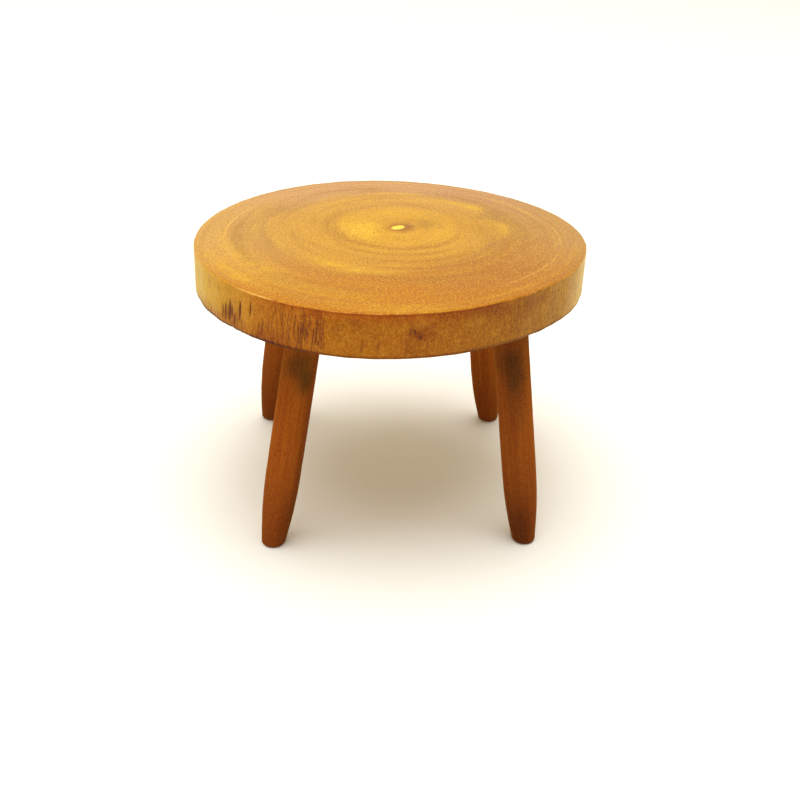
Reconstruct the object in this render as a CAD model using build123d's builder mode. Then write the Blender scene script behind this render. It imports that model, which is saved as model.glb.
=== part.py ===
"""A dolls-house dining table: a cross-cut slice of a branch on four turned, splayed legs.

Five wooden pieces, glued: the slab, with four blind sockets bored at a slant into its underside,
and the four legs that fill them. Millimetres, +Z up. The origin is on the floor, under the middle
of the slab, and -Y is the front.
"""

from build123d import *
import math
import os

# The slab
SLAB_RADIUS = 70.0  # mean radius of the slice
SLAB_THICKNESS = 16.0
TABLE_HEIGHT = 101.0
UNDERSIDE = TABLE_HEIGHT - SLAB_THICKNESS
SLAB_CENTRE = (-0.75, 0.0)  # puts the middle of the uneven outline over the origin
# A branch isn't a true circle: crests round the outline, their height, and one crest's azimuth.
OUTLINE_LOBES = ((2, 1.75, 25.0), (3, 0.75, 0.0), (4, 0.3, 0.0))
OUTLINE_POINTS = 24
TOP_EDGE_ROUND = 0.6
UNDER_EDGE_ROUND = 0.5

# The legs: half-inch dowel that narrows to the foot in one long arc
LEG_RADIUS = 6.35
TAPER_LENGTH = 28.0  # how far up the leg the narrowing starts
FOOT_RADIUS = 3.9  # where the arc reaches the foot, before its edge is rounded
FOOT_ROUND = 1.6
FOOT_SPARE = 2.0  # left on below the floor, and cut off level
TENON_CHAMFER = 0.5

# The sockets, and where each leg stands
SOCKET_DEPTH = 10.0  # along the leg
SOCKET_RADIUS = LEG_RADIUS + 0.05  # a film of glue all round
LEGS_CENTRE = (2.0, -0.7)
SOCKET_CIRCLE = 51.6  # radius on which the sockets open in the underside
FOOT_CIRCLE = 66.7  # radius on which the feet stand
LEG_AZIMUTHS = {
    "leg_front_right": -45.0,
    "leg_back_right": 45.0,
    "leg_back_left": 135.0,
    "leg_front_left": 225.0,
}
# The holes are bored by hand, so each leg is a little off: outwards in mm, and round in degrees.
SOCKET_ERRORS = {
    "leg_front_right": (0.0, 0.0),
    "leg_back_right": (0.0, 0.0),
    "leg_back_left": (2.7, 1.0),
    "leg_front_left": (-3.1, 1.2),
}
FOOT_ERRORS = {
    "leg_front_right": (0.0, -0.6),
    "leg_back_right": (-0.7, -1.0),
    "leg_back_left": (2.4, -0.5),
    "leg_front_left": (-0.9, 0.2),
}


def outline_point(azimuth):
    """The point of the slab's outline at an azimuth in degrees."""
    radius = SLAB_RADIUS
    for lobes, height, crest in OUTLINE_LOBES:
        radius += height * math.cos(math.radians(lobes * (azimuth - crest)))
    x = SLAB_CENTRE[0] + radius * math.cos(math.radians(azimuth))
    y = SLAB_CENTRE[1] + radius * math.sin(math.radians(azimuth))
    return (x, y)


def place(azimuth, circle, error, height):
    """A point on a circle about the legs' centre, moved by one leg's hand error."""
    outwards, around = error
    angle = math.radians(azimuth + around)
    x = LEGS_CENTRE[0] + (circle + outwards) * math.cos(angle)
    y = LEGS_CENTRE[1] + (circle + outwards) * math.sin(angle)
    return Vector(x, y, height)


def leg_line(name):
    """A leg's two places: the middle of its foot, and where it enters the underside."""
    azimuth = LEG_AZIMUTHS[name]
    foot = place(azimuth, FOOT_CIRCLE, FOOT_ERRORS[name], 0.0)
    mouth = place(azimuth, SOCKET_CIRCLE, SOCKET_ERRORS[name], UNDERSIDE)
    return foot, mouth


os.makedirs("parts", exist_ok=True)

# The slab: the uneven outline, eased edges, and four blind sockets, each bored along its leg.
with BuildPart() as tabletop:
    with BuildSketch(Plane.XY.offset(UNDERSIDE)):
        with BuildLine():
            step = 360.0 / OUTLINE_POINTS
            Spline([outline_point(i * step) for i in range(OUTLINE_POINTS)], periodic=True)
        make_face()
    extrude(amount=SLAB_THICKNESS)
    fillet(tabletop.faces().sort_by(Axis.Z)[-1].edges(), TOP_EDGE_ROUND)
    fillet(tabletop.faces().sort_by(Axis.Z)[0].edges(), UNDER_EDGE_ROUND)
    for name in LEG_AZIMUTHS:
        foot, mouth = leg_line(name)
        along = (mouth - foot).normalized()
        with BuildSketch(Plane(origin=mouth + along * SOCKET_DEPTH, z_dir=along)):
            Circle(SOCKET_RADIUS)
        extrude(amount=-2 * SOCKET_DEPTH, mode=Mode.SUBTRACT)

tabletop.part.label = "tabletop"
export_step(tabletop.part, "parts/tabletop.step")

# The legs: each is turned about its own line, then cut level on the floor and rounded there.
for name in LEG_AZIMUTHS:
    foot, mouth = leg_line(name)
    along = (mouth - foot).normalized()
    across = Vector(0, 0, 1).cross(along).normalized()
    top = (mouth - foot).length + SOCKET_DEPTH
    with BuildPart() as leg:
        with BuildSketch(Plane(origin=foot, x_dir=across, z_dir=across.cross(along))):
            with BuildLine():
                Polyline(
                    (FOOT_RADIUS, -FOOT_SPARE),
                    (0, -FOOT_SPARE),
                    (0, top),
                    (LEG_RADIUS - TENON_CHAMFER, top),
                    (LEG_RADIUS, top - TENON_CHAMFER),
                    (LEG_RADIUS, TAPER_LENGTH),
                )
                TangentArc(
                    (LEG_RADIUS, TAPER_LENGTH),
                    (FOOT_RADIUS, -FOOT_SPARE),
                    tangent=(0, -1),
                )
            make_face()
        revolve(axis=Axis(foot, along))
        split(bisect_by=Plane.XY, keep=Keep.TOP)
        fillet(leg.faces().sort_by(Axis.Z)[0].edges(), FOOT_ROUND)

    leg.part.label = name
    export_step(leg.part, f"parts/{name}.step")
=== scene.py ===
"""The looks of the dolls-house dining table: a varnished cross-cut slice on four turned legs.

Metres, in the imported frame: +Z up, -Y the front. The slab and the legs are made again as fine
meshes with the relief of real wood, on the outlines and axes that are read from the CAD nodes.
Lengths named _MM are millimetres, the unit that the wood's figure is drawn in.
"""

import math
from functools import partial

import bmesh
import bpy
import numpy as np
from mathutils import Matrix, Vector


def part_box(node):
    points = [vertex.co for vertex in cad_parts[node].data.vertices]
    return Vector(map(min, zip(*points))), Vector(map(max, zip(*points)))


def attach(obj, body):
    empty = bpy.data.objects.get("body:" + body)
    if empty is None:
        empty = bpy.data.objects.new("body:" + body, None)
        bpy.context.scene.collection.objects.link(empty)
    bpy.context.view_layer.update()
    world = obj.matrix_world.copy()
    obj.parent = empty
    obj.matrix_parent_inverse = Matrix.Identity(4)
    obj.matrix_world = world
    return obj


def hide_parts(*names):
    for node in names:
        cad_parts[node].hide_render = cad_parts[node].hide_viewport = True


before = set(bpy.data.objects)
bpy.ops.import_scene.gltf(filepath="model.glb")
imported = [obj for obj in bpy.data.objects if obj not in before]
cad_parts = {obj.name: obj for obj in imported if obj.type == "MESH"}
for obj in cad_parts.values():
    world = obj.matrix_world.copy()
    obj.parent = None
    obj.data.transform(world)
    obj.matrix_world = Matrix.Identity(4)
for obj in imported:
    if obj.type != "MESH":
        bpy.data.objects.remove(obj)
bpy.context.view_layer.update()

MM = 0.001
TURN = 2 * math.pi
TABLETOP = "tabletop"
LEGS = ("leg_front_left", "leg_front_right", "leg_back_left", "leg_back_right")


def add_object(name, data):
    thing = bpy.data.objects.new(name, data)
    bpy.context.scene.collection.objects.link(thing)
    return thing


# ---- camera
LEGS_CENTRE = Vector((2.0, -0.7, 0.0)) * MM
CAMERA_DISTANCE = 465 * MM
CAMERA_ELEVATION = math.radians(31.7)
CAMERA_AZIMUTH = math.radians(5.3)
CAMERA_HEADING = math.radians(5.75)
CAMERA_PITCH = math.radians(28.0)
CAMERA_ROLL = math.radians(2.23)
CAMERA_LENS = 51.3
CAMERA_SENSOR = 36.0


def make_camera():
    """A camera in front of the table, a little to its left, looking down and held slightly crooked."""
    data = bpy.data.cameras.new("camera")
    data.sensor_width = CAMERA_SENSOR
    data.lens = CAMERA_LENS
    data.clip_start = 0.01
    data.clip_end = 50
    camera = add_object("camera", data)
    reach = CAMERA_DISTANCE * math.cos(CAMERA_ELEVATION)
    place = LEGS_CENTRE + Vector(
        (
            -reach * math.sin(CAMERA_AZIMUTH),
            -reach * math.cos(CAMERA_AZIMUTH),
            CAMERA_DISTANCE * math.sin(CAMERA_ELEVATION),
        )
    )
    turn = (
        Matrix.Rotation(-CAMERA_HEADING, 4, "Z")
        @ Matrix.Rotation(math.pi / 2 - CAMERA_PITCH, 4, "X")
        @ Matrix.Rotation(CAMERA_ROLL, 4, "Z")
    )
    camera.matrix_world = Matrix.Translation(place) @ turn
    bpy.context.scene.camera = camera


# ---- node trees
def srgb(red, green, blue):
    """A colour given as 0 to 255 sRGB values, as the linear RGBA that shaders take."""
    linear = []
    for value in (red, green, blue):
        v = value / 255
        linear.append(v / 12.92 if v <= 0.04045 else ((v + 0.055) / 1.055) ** 2.4)
    return (*linear, 1.0)


class Nodes:
    """A short way to write a node tree: each method adds one node and returns its output."""

    def __init__(self, tree):
        self.tree = tree

    def feed(self, socket, value):
        if isinstance(value, bpy.types.NodeSocket):
            self.tree.links.new(value, socket)
        else:
            socket.default_value = value

    def fill(self, node, inputs):
        for key, value in inputs.items():
            self.feed(node.inputs[key], value)

    def add(self, kind, inputs=None, output=0, **settings):
        node = self.tree.nodes.new("ShaderNode" + kind)
        for name, value in settings.items():
            setattr(node, name, value)
        self.fill(node, inputs or {})
        return node.outputs[output]

    def math(self, operation, a, b=0.0):
        return self.add("Math", {0: a, 1: b}, operation=operation)

    def plus(self, a, b):
        return self.math("ADD", a, b)

    def minus(self, a, b):
        return self.math("SUBTRACT", a, b)

    def times(self, a, b):
        return self.math("MULTIPLY", a, b)

    def vector(self, operation, a, b=(0.0, 0.0, 0.0), output=0):
        return self.add("VectorMath", {0: a, 1: b}, output, operation=operation)

    def scale(self, vector, factor):
        return self.add("VectorMath", {0: vector, 3: factor}, operation="SCALE")

    def length(self, vector):
        return self.vector("LENGTH", vector, output=1)

    def parts(self, vector):
        node = self.tree.nodes.new("ShaderNodeSeparateXYZ")
        self.feed(node.inputs[0], vector)
        return tuple(node.outputs)

    def attribute(self, name):
        return self.add("Attribute", output="Fac", attribute_name=name)

    def span(self, value, low, high, to_low=0.0, to_high=1.0):
        """value from low to high, eased into the range to_low to to_high and held there outside."""
        inputs = {"Value": value, "From Min": low, "From Max": high}
        inputs.update({"To Min": to_low, "To Max": to_high})
        return self.add("MapRange", inputs, interpolation_type="SMOOTHSTEP")

    def noise(self, vector, scale, detail=2.0, roughness=0.5, distortion=0.0):
        inputs = {"Vector": vector, "Scale": scale, "Detail": detail}
        inputs.update({"Roughness": roughness, "Distortion": distortion})
        return self.add("TexNoise", inputs)

    def swing(self, vector, scale, size, detail=2.0, roughness=0.5):
        """Noise that swings about zero, up to about size each way."""
        centred = self.minus(self.noise(vector, scale, detail, roughness), 0.5)
        return self.times(centred, 2 * size)

    def mix(self, share, a, b, blend="MIX"):
        """Colour a turning to colour b, or b blended onto a, as share goes from 0 to 1."""
        return self.add("Mix", {0: share, 6: a, 7: b}, 2, data_type="RGBA", blend_type=blend)

    def ramp(self, value, stops):
        """A colour for each value: stops are (position, colour), in order."""
        node = self.tree.nodes.new("ShaderNodeValToRGB")
        band = node.color_ramp
        while len(band.elements) < len(stops):
            band.elements.new(1.0)
        for element, (position, colour) in zip(band.elements, stops):
            element.position = position
            element.color = colour
        self.feed(node.inputs[0], value)
        return node.outputs[0]


class Coat:
    """A colour that is built up by laying tints on it, one after another."""

    def __init__(self, n, colour):
        self.n = n
        self.colour = colour

    def lay(self, share, tint, blend="MIX"):
        self.colour = self.n.mix(share, self.colour, tint, blend)

    def shade(self, share, tint):
        self.lay(share, tint, "MULTIPLY")

    def grain(self, noise, table, tints):
        """Lays tints by a noise of the grain's size, and returns it. After the size, the table holds
        for each tint the level where it sets in, the level where it is full, and its share there."""
        size, *levels = table
        value = noise(*size)
        for (start, full, most), (tint, blend) in zip(levels, tints):
            self.lay(self.n.span(value, start, full, 0, most), tint, blend)
        return value


def new_material(name):
    """An empty material: its nodes, and its Principled shader."""
    material = bpy.data.materials.new(name)
    material.use_nodes = True
    shader = material.node_tree.nodes["Principled BSDF"]
    return material, Nodes(material.node_tree), shader


# ---- mesh helpers
def new_piece(name, points, faces, material):
    mesh = bpy.data.meshes.new(name)
    mesh.from_pydata(points.tolist(), [], faces)
    mesh.materials.append(material)
    mesh.update()
    return add_object(name, mesh)


def finish_mesh(mesh):
    """Turns every face outwards and shades the mesh smooth."""
    work = bmesh.new()
    work.from_mesh(mesh)
    bmesh.ops.recalc_face_normals(work, faces=work.faces)
    work.to_mesh(mesh)
    work.free()
    mesh.shade_smooth()


def vertices_of(mesh):
    points = np.empty(3 * len(mesh.vertices))
    mesh.vertices.foreach_get("co", points)
    return points.reshape(-1, 3)


def paint(mesh, name, values, kind="FLOAT"):
    """Stores one number or vector a vertex, for the material to read."""
    field = "vector" if kind == "FLOAT_VECTOR" else "value"
    attribute = mesh.attributes.new(name, kind, "POINT")
    attribute.data.foreach_set(field, np.ascontiguousarray(values, np.float32).ravel())


def band(a, m, b, n):
    """Faces between a ring of m points that starts at index a and one of n points that starts at
    index b, each as long as the other, or twice or half as long."""
    if m > n:
        return [(q, p, r) for p, q, r in band(b, n, a, m)]
    faces = []
    for i in range(m):
        j = (i + 1) % m
        if m == n:
            faces.append((a + i, b + i, b + j, a + j))
        else:
            middle = b + 2 * i + 1
            faces.append((a + i, b + 2 * i, middle))
            faces.append((a + i, middle, a + j))
            faces.append((a + j, middle, b + 2 * j))
    return faces


def stitch(rows):
    """Points and faces of rings of points, with bands between them and a fan to close each end."""
    points = np.concatenate([rows[0].mean(0)[None]] + rows + [rows[-1].mean(0)[None]])
    lengths = [len(row) for row in rows]
    starts = [1 + sum(lengths[:k]) for k in range(len(rows) + 1)]
    faces = [(0, 1 + i, 1 + (i + 1) % lengths[0]) for i in range(lengths[0])]
    for k in range(len(rows) - 1):
        faces += band(starts[k], lengths[k], starts[k + 1], lengths[k + 1])
    tail, end = starts[-2:]
    faces += [(end, tail + (i + 1) % lengths[-1], tail + i) for i in range(lengths[-1])]
    return points, faces


def waves(rng, angle, height, lobes, drift, count=36):
    """Smooth noise of unit size round a piece: waves that drift sideways with height.

    lobes is the lowest and highest number of crests round the piece."""
    total = np.zeros(np.broadcast(angle, height).shape)
    for _ in range(count):
        crests = rng.integers(lobes[0], lobes[1] + 1)
        slope = rng.normal(0, drift)
        total += np.cos(crests * angle + slope * height + rng.uniform(0, TURN))
    return total / math.sqrt(count / 2)


# ---- the slab's shape
PITH = np.array([3.0, 10.8]) * MM
SLAB_MEAN_RADIUS = 70 * MM
SLAB_THICKNESS_MM = 16
TOP_EDGE_ROUND = 0.6 * MM
UNDER_EDGE_ROUND = 0.5 * MM
RIM_COLUMNS = 1440
RIM_ROWS = 25
EDGE_ROWS = 5
RING_BEND = 1.2  # how late the rings leave the round of the pith for the outline's shape
OUTLINE_ORDER = 6
OUTLINE_POINTS = 2881
RING_TRIES = 12  # enough to settle which ring a point is on
SOCKET_PLAY = 0.05 * MM
SOCKET_SIDES = 96


def read_outline():
    """The slab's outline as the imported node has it: radius about the origin for any azimuth."""
    low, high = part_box(TABLETOP)
    points = vertices_of(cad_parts[TABLETOP].data)
    inside = points[:, 2] > low.z + 0.9 * UNDER_EDGE_ROUND
    inside &= points[:, 2] < high.z - 0.9 * TOP_EDGE_ROUND
    inside &= np.hypot(points[:, 0], points[:, 1]) > 0.9 * SLAB_MEAN_RADIUS
    x, y = points[inside, 0], points[inside, 1]

    def harmonics(angle):
        columns = [np.ones_like(angle)]
        for order in range(1, OUTLINE_ORDER + 1):
            columns += [np.cos(order * angle), np.sin(order * angle)]
        return np.stack(columns, -1)

    fitted = np.linalg.lstsq(harmonics(np.arctan2(y, x)), np.hypot(x, y), rcond=None)[0]
    return lambda angle: harmonics(angle) @ fitted


class Outline:
    """The slab's outline seen from the pith: how far off it is, and which way it faces."""

    def __init__(self):
        radius = read_outline()
        around = np.linspace(-math.pi, math.pi, OUTLINE_POINTS)
        edge = radius(around)[:, None] * np.stack([np.cos(around), np.sin(around)], -1)
        from_pith = edge - PITH
        self.angle = np.unwrap(np.arctan2(from_pith[:, 1], from_pith[:, 0]))
        self.distance = np.hypot(from_pith[:, 0], from_pith[:, 1])
        tangent = np.gradient(edge, axis=0)
        tangent[0] = tangent[-1] = tangent[1] + tangent[-2]
        tangent /= np.hypot(tangent[:, 0], tangent[:, 1])[:, None]
        self.facing = np.stack([tangent[:, 1], -tangent[:, 0]], -1)

    def reach(self, angle):
        """Distance from the pith to the outline in a direction."""
        return np.interp(angle, self.angle, self.distance, period=TURN)

    def normal(self, angle):
        parts = [np.interp(angle, self.angle, self.facing[:, i], period=TURN) for i in (0, 1)]
        return np.stack(parts, -1)

    def ring_radius(self, ring, angle):
        """How far from the pith a growth ring runs: round near the pith, and like the outline
        near the bark. ring goes from 0 to 1."""
        uneven = self.reach(angle) / SLAB_MEAN_RADIUS - 1
        return SLAB_MEAN_RADIUS * ring * (1 + uneven * np.power(ring, RING_BEND))

    def ring_at(self, x, y):
        """The growth ring, 0 to 1, that passes through a point."""
        dx, dy = x - PITH[0], y - PITH[1]
        angle, distance = np.arctan2(dy, dx), np.hypot(dx, dy)
        ring = distance / self.reach(angle)
        for _ in range(RING_TRIES):
            ring *= np.where(ring > 0, distance / np.maximum(self.ring_radius(ring, angle), 1e-9), 1)
        return ring


# Seeds of what is scattered at random: the first leg's is LEG_SEED, and the others follow on.
FACE_SEED = 3
RIM_SEED = 7
CRACK_SEED = 31
LEG_SEED = 100
# Rings of points on the face and underneath: points round, first and last ring, how many rings.
FACE_GRID = (
    (45, 0.004, 0.012, 2),
    (90, 0.02, 0.036, 3),
    (180, 0.046, 0.14, 8),
    (360, 0.155, 0.7, 34),
    (720, 0.715, 0.955, 13),
    (RIM_COLUMNS, 0.965, 0.985, 3),
)
UNDER_GRID = (
    (45, 0.02, 0.03, 1),
    (90, 0.06, 0.12, 2),
    (180, 0.2, 0.5, 5),
    (360, 0.56, 0.92, 8),
    (720, 0.935, 0.945, 2),
    (RIM_COLUMNS, 0.955, 0.965, 2),
)
FACE_SWELL = 0.03 * MM  # how unevenly the faces are sanded
PITH_LENGTH = 2.9 * MM  # half of its length, along its heading
PITH_WIDTH = 1.9 * MM
PITH_HEADING = math.radians(35)
PITH_SINK = 0.22 * MM
RIM_FLUTES = 0.05 * MM
RIM_FIBRES = 0.018 * MM
CRACK_DEPTH = 0.3 * MM
CRACK_LEAN = 0.09  # degrees to the right for each mm up
CHIP_AZIMUTH = -140.0
CHIP_SPREAD = 5.0
CHIP_SIZE = 0.5 * MM

# Drying cracks and bark marks in the rim: azimuth in degrees, height of the middle over the
# underside, half length and half width in mm, and strength from 0 to 1.
RIM_CRACKS = (
    (-145.6, 4.6, 2.9, 0.41, 0.75),
    (-144.3, 5.2, 3.9, 0.5, 0.95),
    (-143.3, 5.1, 3, 0.36, 0.55),
    (-142.3, 6.2, 4.4, 0.66, 1),
    (-141.3, 6, 2.9, 0.36, 0.8),
    (-140.2, 3.8, 2.6, 0.48, 0.7),
    (-139.1, 3.5, 2, 0.36, 0.45),
    (-137.9, 8.1, 4, 0.54, 1),
    (-137.4, 4, 2.5, 0.3, 0.5),
    (-134.4, 7.2, 1.5, 0.24, 0.5),
    (-133.9, 9.8, 3.4, 0.32, 0.9),
    (-131.2, 4.4, 3.2, 0.36, 0.55),
    (-130, 5.2, 3.8, 0.36, 0.6),
    (-127.8, 6.2, 2.9, 0.3, 0.5),
    (-126.2, 10.8, 2.8, 0.24, 0.45),
    (-112.2, 8.4, 7.4, 0.2, 0.75),
    (-101.8, 5.3, 3.8, 0.24, 0.6),
    (-97.7, 4.8, 2.5, 0.35, 0.55),
    (-90.5, 3.9, 2, 0.3, 0.4),
    (-89.4, 9.2, 1.2, 0.26, 0.85),
    (-88.6, 10.1, 0.6, 0.5, 0.6),
    (-88.1, 9.3, 1.3, 0.34, 1),
    (-86.7, 7.4, 0.9, 0.5, 0.95),
    (-84.7, 4.2, 3, 0.4, 0.4),
    (-82.8, 5.3, 3.6, 0.25, 0.35),
    (-80.7, 5.3, 2.8, 0.3, 0.38),
    (-66, 3, 2, 0.25, 0.4),
)
# Crowds of the same marks: from and to azimuth, how many, and the largest of each of the rest.
RIM_CROWDS = (
    (-124.4, -112.6, 13, 6.6, 0.3, 0.95),
    (-130, -112, 26, 3.4, 0.22, 0.65),
    (-112, -66, 50, 0.8, 0.26, 0.4),
    (-68, -10, 110, 0.8, 0.3, 0.6),
    (-180, -145, 40, 0.8, 0.26, 0.5),
    (-10, 180, 220, 0.9, 0.3, 0.6),
    (2, 40, 26, 2.4, 0.22, 0.4),
    (46, 62, 22, 6, 0.24, 0.65),
    (70, 118, 30, 2.8, 0.22, 0.4),
    (121, 133, 16, 5.6, 0.26, 0.75),
    (136, 176, 26, 2.4, 0.22, 0.35),
)

# Soft stains in the rim, and painted shade low on its left by the under edge (the rows from -160 to
# -120 degrees,
# 0.8 to 2 mm up): height over the underside in mm, azimuth about the slab's middle in degrees, half
# height in mm, half spread in degrees, strength.
RIM_STAINS_AND_SHADE = (
    (4.6, -142, 4.2, 4.2, 0.8),
    (0.8, -160, 2.6, 7, 0.45),
    (1, -151, 3, 7, 0.7),
    (1, -138, 3.2, 7, 0.5),
    (1.6, -129, 3.8, 5.5, 0.8),
    (2, -120, 3, 6, 0.3),
    (8.6, -86.3, 2.8, 3.6, 0.85),
    (14, -70, 3.2, 9, 0.45),
    (13.5, -58, 3.6, 9, 0.4),
    (5, -55, 4, 5, 0.35),
    (12, -50, 2.5, 6, 0.35),
    (8, 52, 5, 7, 0.4),
    (6, 127, 5, 6, 0.5),
    (10, 90, 4, 6, 0.3),
)


def rim_cracks():
    """The rim's own cracks, and the crowds of smaller ones scattered by a fixed seed."""
    rng = np.random.default_rng(CRACK_SEED)
    cracks = list(RIM_CRACKS)
    for start, end, count, half_length, half_width, strength in RIM_CROWDS:
        for place in range(count):
            heading = start + (end - start) * (place + rng.uniform(0.1, 0.9)) / count
            half = half_length * rng.uniform(0.5, 1)
            middle = rng.uniform(0.8 * half, SLAB_THICKNESS_MM - 1.1 * half)
            width = half_width * rng.uniform(0.6, 1)
            depth = strength * rng.uniform(0.4, 1)
            cracks.append((heading, middle, half, width, depth))
    return cracks


def crack_field(azimuth, height):
    """How cracked the rim is at an azimuth in radians and a height over the underside, 0 to 1."""
    deepest = np.zeros(np.broadcast(azimuth, height).shape)
    for heading, middle, half, width, strength in rim_cracks():
        along = (height / MM - middle) / half
        leaning = heading + CRACK_LEAN * half * along
        aside = np.angle(np.exp(1j * (azimuth - np.radians(leaning))))
        spindle = 1.6 * width * (1 - np.minimum(along**2, 1)) + 1e-6
        share = np.clip(1.1 - np.abs(aside) * SLAB_MEAN_RADIUS / MM / spindle, 0, 1)
        deepest = np.maximum(deepest, strength * share)
    return deepest


def pith_share(x, y):
    """1 in the middle of the pith, 0 from its edge outwards."""
    dx, dy = x - PITH[0], y - PITH[1]
    along = (dx * math.cos(PITH_HEADING) + dy * math.sin(PITH_HEADING)) / PITH_LENGTH
    across = (-dx * math.sin(PITH_HEADING) + dy * math.cos(PITH_HEADING)) / PITH_WIDTH
    return np.clip(1 - np.hypot(along, across), 0, 1)


def face_rows(outline, grid, level, swell):
    """Rings of points on one face of the slab, from the pith outwards."""
    rows = []
    for columns, first, last, count in grid:
        angle = np.linspace(0, TURN, columns, endpoint=False)
        for ring in np.linspace(first, last, count):
            radius = outline.ring_radius(ring, angle)
            x, y = PITH[0] + radius * np.cos(angle), PITH[1] + radius * np.sin(angle)
            rows.append(np.stack([x, y, level + swell(x, y)], -1))
    return rows


def rim_rows(outline, low, high):
    """Rings of points down the rim, with its eased edges, flutes, fibres and cracks."""
    rng = np.random.default_rng(RIM_SEED)
    angle = np.linspace(0, TURN, RIM_COLUMNS, endpoint=False)
    reach, facing = outline.reach(angle), outline.normal(angle)
    edge = PITH + reach[:, None] * np.stack([np.cos(angle), np.sin(angle)], -1)
    azimuth = np.arctan2(edge[:, 1], edge[:, 0])
    top_round = TOP_EDGE_ROUND * (1 + 0.12 * waves(rng, angle, 0, (3, 60), 0))
    under_round = UNDER_EDGE_ROUND * (1 + 0.15 * waves(rng, angle, 0, (3, 70), 0))
    off_chip = np.angle(np.exp(1j * (azimuth - math.radians(CHIP_AZIMUTH))))
    chip = np.exp(-((off_chip / math.radians(CHIP_SPREAD)) ** 2))
    under_round += CHIP_SIZE * chip * (1 + 0.25 * waves(rng, angle, 0, (40, 140), 0))
    levels = []
    for step in range(1, EDGE_ROWS + 1):
        lean = math.pi / 2 * step / EDGE_ROWS
        levels.append((high - top_round * (1 - math.cos(lean)), top_round * (1 - math.sin(lean))))
    for step in range(1, RIM_ROWS):
        share = step / RIM_ROWS
        drop = (high - top_round) * (1 - share) + (low + under_round) * share
        levels.append((drop, 0 * angle))
    for step in range(EDGE_ROWS):
        lean = math.pi / 2 * step / EDGE_ROWS
        level = low + under_round * (1 - math.sin(lean))
        levels.append((level, under_round * (1 - math.cos(lean))))
    heights = np.stack([level for level, _ in levels])
    insets = np.stack([inset for _, inset in levels])
    over = heights - low
    flutes = waves(rng, angle, over / (9 * MM), (8, 45), 0.5)
    fibres = waves(rng, angle, over / (4 * MM), (150, 420), 0.8, 60)
    hollow = RIM_FLUTES * flutes + RIM_FIBRES * fibres + CRACK_DEPTH * crack_field(azimuth, over)
    inward = insets + hollow * np.clip(1 - insets / TOP_EDGE_ROUND, 0.15, 1)
    flat = edge[None] - inward[..., None] * facing[None]
    return list(np.concatenate([flat, heights[..., None]], -1))


def make_slab(outline, legs, material):
    """The slab: face, rim and underside in one closed mesh, with the legs' sockets cut in it."""
    low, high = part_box(TABLETOP)
    rng = np.random.default_rng(FACE_SEED)
    bumps = [(rng.uniform(90, 300, 2), rng.uniform(0, TURN)) for _ in range(8)]

    def swell(x, y):
        total = sum(np.cos(k[0] * x + k[1] * y + phase) for k, phase in bumps) / len(bumps)
        return FACE_SWELL * (total - 1)

    def face(x, y):
        return swell(x, y) - PITH_SINK * np.sqrt(pith_share(x, y))

    rows = face_rows(outline, FACE_GRID, high.z, face)
    rows += rim_rows(outline, low.z, high.z)
    rows += face_rows(outline, UNDER_GRID, low.z, lambda x, y: -swell(y, x))[::-1]
    points, faces = stitch(rows)
    slab = new_piece("tabletop_slice", points, faces, material)
    finish_mesh(slab.data)
    cut_sockets(slab, legs)
    paint_slab(slab.data, outline, low.z, high.z)
    return slab


def cut_sockets(slab, legs):
    """Bores the blind sockets, each along its leg and to the leg's end."""
    work = bmesh.new()
    for leg in legs:
        deep = leg.length - leg.mouth(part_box(TABLETOP)[0].z) + 2 * leg.radius
        middle = leg.top - leg.along * deep / 2
        turn = leg.along.to_track_quat("Z", "Y").to_matrix().to_4x4()
        size = {"radius1": leg.radius + SOCKET_PLAY, "radius2": leg.radius + SOCKET_PLAY, "depth": deep}
        place = Matrix.Translation(middle) @ turn
        bmesh.ops.create_cone(work, cap_ends=True, segments=SOCKET_SIDES, matrix=place, **size)
    drills = bpy.data.meshes.new("drills")
    work.to_mesh(drills)
    work.free()
    drill = add_object("drills", drills)
    cut = slab.modifiers.new("sockets", "BOOLEAN")
    cut.operation = "DIFFERENCE"
    cut.solver = "EXACT"
    cut.object = drill
    shapes = bpy.context.evaluated_depsgraph_get()
    bored = bpy.data.meshes.new_from_object(slab.evaluated_get(shapes), depsgraph=shapes)
    slab.modifiers.clear()
    slab.data = bored
    bpy.data.objects.remove(drill)


# Where the golden heartwood ends: azimuth about the pith in degrees, and distance from it in mm.
HEART_EDGE = (
    (-168, 49), (-150, 47), (-135, 48), (-120, 50), (-105, 49), (-90, 45), (-72, 41), (-54, 38),
    (-30, 35), (-15, 40), (0, 42), (12, 39), (20, 33), (28, 39), (34, 42), (52, 40), (90, 42),
    (130, 41), (152, 42), (169, 49),
)
# Soft patches of colour on the face: distance from the pith in mm, azimuth about it in degrees,
# half depth in mm, half spread in degrees, strength.
GOLD_PATCHES = (
    (12, 186, 4.6, 32, 1.6),
    (17, -150, 4, 30, 0.6),
    (19, 176, 3, 30, 0.5),
    (8.5, -80, 3, 40, 0.5),
    (18, 88, 4, 35, 0.45),
    (17, -20, 4, 30, 0.35),
    (39.5, 36, 3.5, 8, 0.7),
    (38.5, 50, 2.6, 12, 0.4),
    (34, 110, 5, 40, 0.35),
    (40.5, 85, 1.8, 20, 0.5),
    (40, 1, 3, 10, 0.5),
    (46, -128, 4, 11, 0.5),
    (46.5, -111, 3.2, 11, 0.55),
    (40, -97, 3, 12, 0.35),
    (65, -152, 5, 20, 0.5),
    (64, -138, 2.4, 9, 0.4),
    (69, -120, 6, 15, 0.45),
    (76, -92, 4, 14, 0.4),
    (75, -142, 3.5, 18, 0.55),
)
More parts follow.
